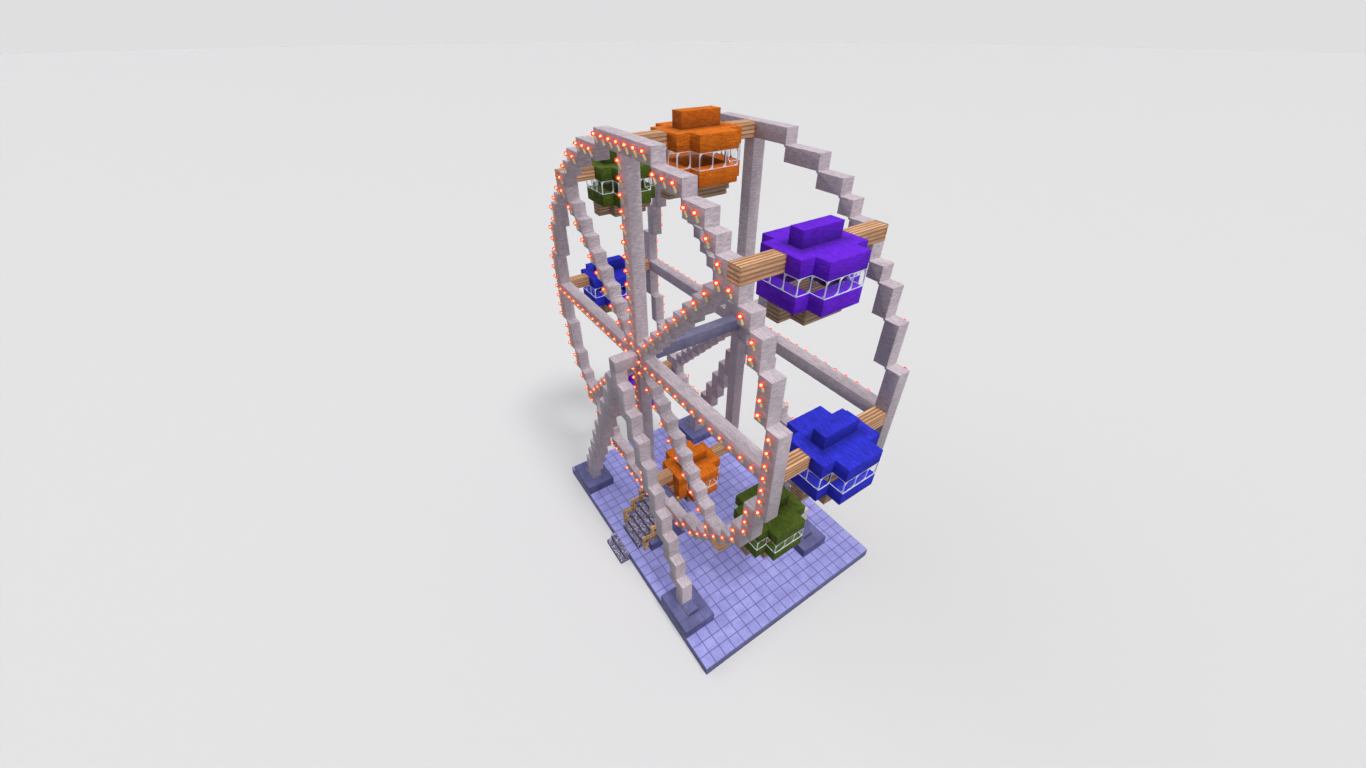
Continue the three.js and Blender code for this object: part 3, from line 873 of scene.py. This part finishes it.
def stack(name, x0, x1, y0, y1, z0, z1):
    rows = []
    columns = round((x1 - x0) / BATTEN)
    layers = round((z1 - z0) / BATTEN)
    for i in range(columns):
        for k in range(layers):
            if 0 < i < columns - 1 and 0 < k < layers - 1:
                continue
            place = (x0 + (i + 0.5) * BATTEN, (y0 + y1) / 2, z0 + (k + 0.5) * BATTEN)
            rows.append(copied(batten, "row", place, size=(1, y1 - y0 - 2 * END_BOARD, 1)))
    thin = END_BOARD / (BATTEN - BATTEN_GAP)
    for k in range(layers):
        for y in (y0 + END_BOARD / 2, y1 - END_BOARD / 2):
            place = ((x0 + x1) / 2, y, z0 + (k + 0.5) * BATTEN)
            rows.append(copied(batten, "end", place, math.pi / 2, (thin, x1 - x0, 1)))
    return joined(rows, name)


print("batten faces:", len(batten.data.polygons))

# %% [markdown]
# Hangers.
# A hanger is two square bars with a round steel pin between them, which runs through the cabin's
# roof. The four at the ends of the straight spokes fit between the rims, and the four at the
# diagonals are as long as the wheel is deep. Each kind is modelled once and copied.

# %% Hangers
BAR_HALF = 0.5
CABIN_SIDE = 2.52
SHORT_END = 4.499
PIN_RADIUS = 0.149
PIN_IN_BARS = 0.6
PIN_EDGE = 0.02


def hanger(name, far):
    both = joined([
        stack(name + "_front", -BAR_HALF, BAR_HALF, -far, -CABIN_SIDE, -BAR_HALF, BAR_HALF),
        stack(name + "_rear", -BAR_HALF, BAR_HALF, CABIN_SIDE, far, -BAR_HALF, BAR_HALF),
    ], name)
    both.data.materials.clear()
    both.data.materials.append(timber)
    bpy.ops.object.select_all(action="DESELECT")
    bpy.ops.mesh.primitive_cylinder_add(
        vertices=32, radius=PIN_RADIUS, depth=2 * CABIN_SIDE + PIN_IN_BARS,
        rotation=(math.pi / 2, 0, 0),
    )
    pin = settle(bpy.context.object)
    bpy.ops.object.mode_set(mode="EDIT")
    select_faces(pin, lambda centre, normal: abs(normal.y) > 0.9)
    bpy.ops.mesh.bevel(offset=PIN_EDGE, segments=2, affect="EDGES")
    bpy.ops.object.mode_set(mode="OBJECT")
    bpy.ops.object.shade_smooth_by_angle(angle=SHARP)
    pin.data.materials.append(axle_steel)
    return joined([both, pin], name)


short_hanger = hanger("short_hanger", SHORT_END)
long_hanger = hanger("long_hanger", RIM_FACE)
for name, (x, z, _) in CABINS.items():
    model = long_hanger if x and z else short_hanger
    bar = settle(copied(model, name + "_bar", bar_centre(name)))
    place_on(bar, "wheel", "timber", name + "_hanger")
drop(short_hanger)
drop(long_hanger)

# %% [markdown]
# Cabin floors.
# Under each tub is a stack of boards, three metres square and a metre high, with a narrower block
# under the front wall and the rear wall. It is built from the same battens, in the darker timber.

# %% Cabin floors
FLOOR_TOP = -2.5003
FLOOR_BOTTOM = -3.5
FLOOR_HALF = 1.5
TAB_HALF = 0.5
floor_model = joined([
    stack("floor_middle", -FLOOR_HALF, FLOOR_HALF, -FLOOR_HALF, FLOOR_HALF, FLOOR_BOTTOM, FLOOR_TOP),
    stack("floor_front", -TAB_HALF, TAB_HALF, -CABIN_HALF, -FLOOR_HALF, FLOOR_BOTTOM, FLOOR_TOP),
    stack("floor_rear", -TAB_HALF, TAB_HALF, FLOOR_HALF, CABIN_HALF, FLOOR_BOTTOM, FLOOR_TOP),
], "floor_model")
for name in CABINS:
    boards = settle(copied(floor_model, name + "_cabin_floor_boards", bar_centre(name)))
    fit(boards, name + "_cabin", dark_timber, "dark_timber", name + "_cabin_floor")
drop(floor_model)
drop(batten)

# %% [markdown]
# Window frames.
# The glass is held in thin pale frames, one to each metre. Each opening is well rounded at the
# upper left and the lower right, so two of its corners look like brackets. One frame is the strip
# between the opening and a square outline: two loops that are bridged and then extruded. It is
# copied along every side of the cabin, and all the frames of a cabin are one piece.

# %% One window frame
PANE = 1.0
PANE_GAP = 0.004
PANE_BAR = 0.024
BRACKET = 0.3
SMALL_CORNER = 0.05
FRAME_DEPTH = 0.045
bpy.ops.object.select_all(action="DESELECT")
bpy.ops.mesh.primitive_plane_add(size=PANE - 2 * PANE_BAR)
pane = bpy.context.object
pane.name = "pane"
bpy.ops.object.mode_set(mode="EDIT")
for offset, segments, diagonal in [(BRACKET, 5, 1), (SMALL_CORNER, 1, -1)]:
    select_points(pane, lambda place: abs(abs(place.x) - abs(place.y)) < 0.01
                  and place.x * place.y * diagonal > 0)
    bpy.ops.mesh.bevel(offset=offset, segments=segments, affect="VERTICES")
bpy.ops.mesh.select_all(action="SELECT")
bpy.ops.mesh.delete(type="ONLY_FACE")
bpy.ops.mesh.primitive_plane_add(size=PANE - PANE_GAP)
bpy.ops.mesh.delete(type="ONLY_FACE")
bpy.ops.mesh.select_all(action="SELECT")
bpy.ops.mesh.bridge_edge_loops()
bpy.ops.mesh.select_all(action="SELECT")
bpy.ops.mesh.extrude_region_move(TRANSFORM_OT_translate={"value": (0, 0, FRAME_DEPTH)})
bpy.ops.mesh.select_all(action="SELECT")
bpy.ops.mesh.remove_doubles(threshold=0.0001)
bpy.ops.mesh.normals_make_consistent(inside=False)
bpy.ops.object.mode_set(mode="OBJECT")
pane.rotation_euler = (-math.pi / 2, 0, 0)
settle(pane)
print("pane faces:", len(pane.data.polygons), "size", tuple(round(v, 3) for v in pane.dimensions))

# %% [markdown]
# Frames round a cabin.
# On each of the four sides there are three panes on the long face and one on each of the two short
# faces beside it. The short ones stop where they meet a neighbour, so no two frames overlap. The
# bottom cabin has a doorway between two solid columns in its front, so no frame stands there.

# %% Frames round a cabin
SHORT_FACE = CABIN_HALF - CORNER
WINDOW_MIDDLE = -1.0
PANES = [
    (-1.0, CABIN_HALF, 1.0),
    (0.0, CABIN_HALF, 1.0),
    (1.0, CABIN_HALF, 1.0),
    (CABIN_HALF - FRAME_DEPTH - 0.5, SHORT_FACE, 1.0),
    (-(CABIN_HALF - FRAME_DEPTH + SHORT_FACE) / 2, SHORT_FACE, CORNER - FRAME_DEPTH),
]
FRONT_WALL = -1.6


def frames_round(name, has_doorway):
    ring = []
    for quarter in range(4):
        turn = quarter * math.pi / 2
        for along, out, width in PANES:
            x = along * math.cos(turn) + out * math.sin(turn)
            y = along * math.sin(turn) - out * math.cos(turn)
            if has_doorway and y < FRONT_WALL:
                continue
            ring.append(copied(pane, "frame", (x, y, WINDOW_MIDDLE), turn, (width, 1, 1)))
    print(name, "has", len(ring), "panes")
    return joined(ring, name)


full_ring = frames_round("full_ring", has_doorway=False)
doorway_ring = frames_round("doorway_ring", has_doorway=True)
for name in CABINS:
    model = doorway_ring if name == "bottom" else full_ring
    frames = settle(copied(model, name + "_window_frames", bar_centre(name)))
    fit(frames, name + "_cabin", frame_enamel, "window_glass")
for model in [full_ring, doorway_ring, pane]:
    drop(model)

# %% [markdown]
# Paving.
# The plinth is laid in metre blocks. One block is a cube with its edges bevelled, copied along a row
# and then row by row. The bevels leave a narrow groove between neighbours, where the finish is dark.

# %% Paving
GROOVE = 0.028
low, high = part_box("plinth")
bpy.ops.object.select_all(action="DESELECT")
bpy.ops.mesh.primitive_cube_add(size=1, location=(low.x + 0.5, low.y + 0.5, 0.5))
first_block = settle(bpy.context.object)
bpy.ops.object.mode_set(mode="EDIT")
bpy.ops.mesh.select_all(action="SELECT")
bpy.ops.mesh.bevel(offset=GROOVE, segments=1, affect="EDGES")
bpy.ops.object.mode_set(mode="OBJECT")
block_faces = len(first_block.data.polygons)
row = joined([first_block] + [
    copied(first_block, "block", (i, 0, 0)) for i in range(1, round(high.x - low.x))
], "row")
slab = joined([row] + [
    copied(row, "row", (0, i, 0)) for i in range(1, round(high.y - low.y))
], "plinth_paving")
fit(slab, "base", paving, "paving", "plinth")
print("paving blocks:", len(slab.data.polygons) // block_faces)

# %% [markdown]
# Lamps.
# A small lamp sits on every block of the rims and the spokes, on the outer face. It is a square
# stick that leans out from the wall, with a round red head and a hot core inside the head. It is
# modelled once at the origin, against a wall that faces -Y.

# %% One lamp
STICK = 0.125
STICK_LENGTH = 0.5
STICK_TAPER = 0.8
STICK_RIM = 0.012
LAMP_FOOT = (0, -0.05, -0.30)
LEAN = math.radians(22.5)
HEAD_RADIUS = 0.165
HEAD_HEIGHT = STICK_LENGTH + 0.06
CORE_RADIUS = 0.1
bpy.ops.object.select_all(action="DESELECT")
bpy.ops.mesh.primitive_cube_add(size=1, location=(0, 0, STICK_LENGTH / 2))
stick = bpy.context.object
stick.scale = (STICK, STICK, STICK_LENGTH)
settle(stick)
bpy.ops.object.mode_set(mode="EDIT")
select_faces(stick, lambda centre, normal: normal.z > 0.9)
bpy.ops.transform.resize(value=(STICK_TAPER, STICK_TAPER, 1))
bpy.ops.mesh.inset(thickness=STICK_RIM)
bpy.ops.object.mode_set(mode="OBJECT")
stick.data.materials.append(lamp_stick)
bpy.ops.object.select_all(action="DESELECT")
bpy.ops.mesh.primitive_uv_sphere_add(
    segments=7, ring_count=5, radius=HEAD_RADIUS, location=(0, 0, HEAD_HEIGHT),
)
head = settle(bpy.context.object)
bpy.ops.object.shade_smooth()
head.data.materials.append(lamp_glass)
bpy.ops.object.select_all(action="DESELECT")
bpy.ops.mesh.primitive_ico_sphere_add(
    subdivisions=1, radius=CORE_RADIUS, location=(0, 0, HEAD_HEIGHT),
)
core = settle(bpy.context.object)
bpy.ops.object.shade_smooth()
core.data.materials.append(lamp_core)
lamp = joined([stick, head, core], "lamp")
lamp.rotation_euler = (LEAN, 0, 0)
lamp.location = LAMP_FOOT
settle(lamp)
print("lamp faces:", len(lamp.data.polygons), "reach", round(min(c[1] for c in lamp.bound_box), 3))

# %% [markdown]
# Lamps on the wheel.
# The blocks of a rim follow a circle: over a block that is x away from the middle, the rim is as
# many blocks high as fit in the circle. The lamps next to the hub move out a little, so that they
# pass clear of the bearing block as the wheel turns. The rear face has the same lamps, mirrored.

# %% Lamps on the wheel
STEPS = 10
BESIDE_HUB = {(0, 1): 0.15, (0, -1): -0.15}
rim_cells = set()
for x in range(-STEPS, STEPS + 1):
    height = math.floor(math.sqrt((RIM_RADIUS + 0.5) ** 2 - x * x))
    rim_cells |= {(x, height), (x, -height), (height, x), (-height, x)}
spoke_cells = set()
for k in range(1, RIM_RADIUS):
    spoke_cells |= {(k, 0), (-k, 0), (0, k), (0, -k)}
    if k <= STEPS:
        spoke_cells |= {(k, k), (-k, k), (k, -k), (-k, -k)}


def lamp_row(name, cells, face):
    rows = []
    for x, z in sorted(cells):
        place = HUB + Vector((x, face * RIM_FACE, z + BESIDE_HUB.get((x, z), 0)))
        rows.append(copied(lamp, "lamp_copy", place, size=(1, -face, 1)))
    made = joined(rows, name)
    if face > 0:
        bpy.ops.object.mode_set(mode="EDIT")
        bpy.ops.mesh.select_all(action="SELECT")
        bpy.ops.mesh.normals_make_consistent(inside=False)
        bpy.ops.object.mode_set(mode="OBJECT")
    return place_on(made, "wheel", "timber")


for side, face in [("front", -1), ("rear", 1)]:
    lamp_row(side + "_rim_lamps", rim_cells, face)
    lamp_row(side + "_spoke_lamps", spoke_cells, face)
drop(lamp)
print("lamps on each face:", len(rim_cells) + len(spoke_cells))

# %% [markdown]
# The studio.
# A plain pale floor carries the shadow, and a plain pale wall stands far away all round it. Neither
# is part of the wheel, and neither throws light or shade on it, so the sides and undersides of the
# blocks keep their depth.

# %% Floor and wall
FLOOR_SIZE = 3000
WALL_RADIUS = 1400
WALL_TOP = 1200
FLOOR_GREY = (0.62, 0.62, 0.63, 1)
WALL_FOOT = (0.74, 0.74, 0.75, 1)
WALL_HEAD = (0.60, 0.61, 0.63, 1)
bpy.ops.object.select_all(action="DESELECT")
bpy.ops.mesh.primitive_plane_add(size=FLOOR_SIZE, location=(0, 0, 0))
ground = settle(bpy.context.object)
ground.name = "studio_floor"
studio_floor, tree, shader = new_finish("studio_floor")
shader.inputs["Base Color"].default_value = FLOOR_GREY
shader.inputs["Roughness"].default_value = 0.95
ground.data.materials.append(studio_floor)

bpy.ops.object.select_all(action="DESELECT")
bpy.ops.mesh.primitive_cylinder_add(
    vertices=96, radius=WALL_RADIUS, depth=WALL_TOP, end_fill_type="NOTHING",
    location=(0, 0, WALL_TOP / 2),
)
wall = settle(bpy.context.object)
wall.name = "studio_wall"
bpy.ops.object.shade_smooth()
studio_wall, tree, shader = new_finish("studio_wall")
here = tree.nodes.new("ShaderNodeTexCoord").outputs["Object"]
up = node(tree, "ShaderNodeSeparateXYZ", {0: here}).outputs[2]
pale = colours(tree, spread(tree, up, 0.0, WALL_TOP, smooth=True), WALL_FOOT, WALL_HEAD)
tree.links.new(pale, shader.inputs["Emission Color"])
shader.inputs["Emission Strength"].default_value = 1.0
shader.inputs["Base Color"].default_value = (0, 0, 0, 1)
shader.inputs["Specular IOR Level"].default_value = 0.0
wall.data.materials.append(studio_wall)

for piece in [ground, wall]:
    piece.visible_diffuse = False
wall.visible_glossy = False
wall.visible_shadow = False
print("floor laid, wall", WALL_RADIUS, "m away")
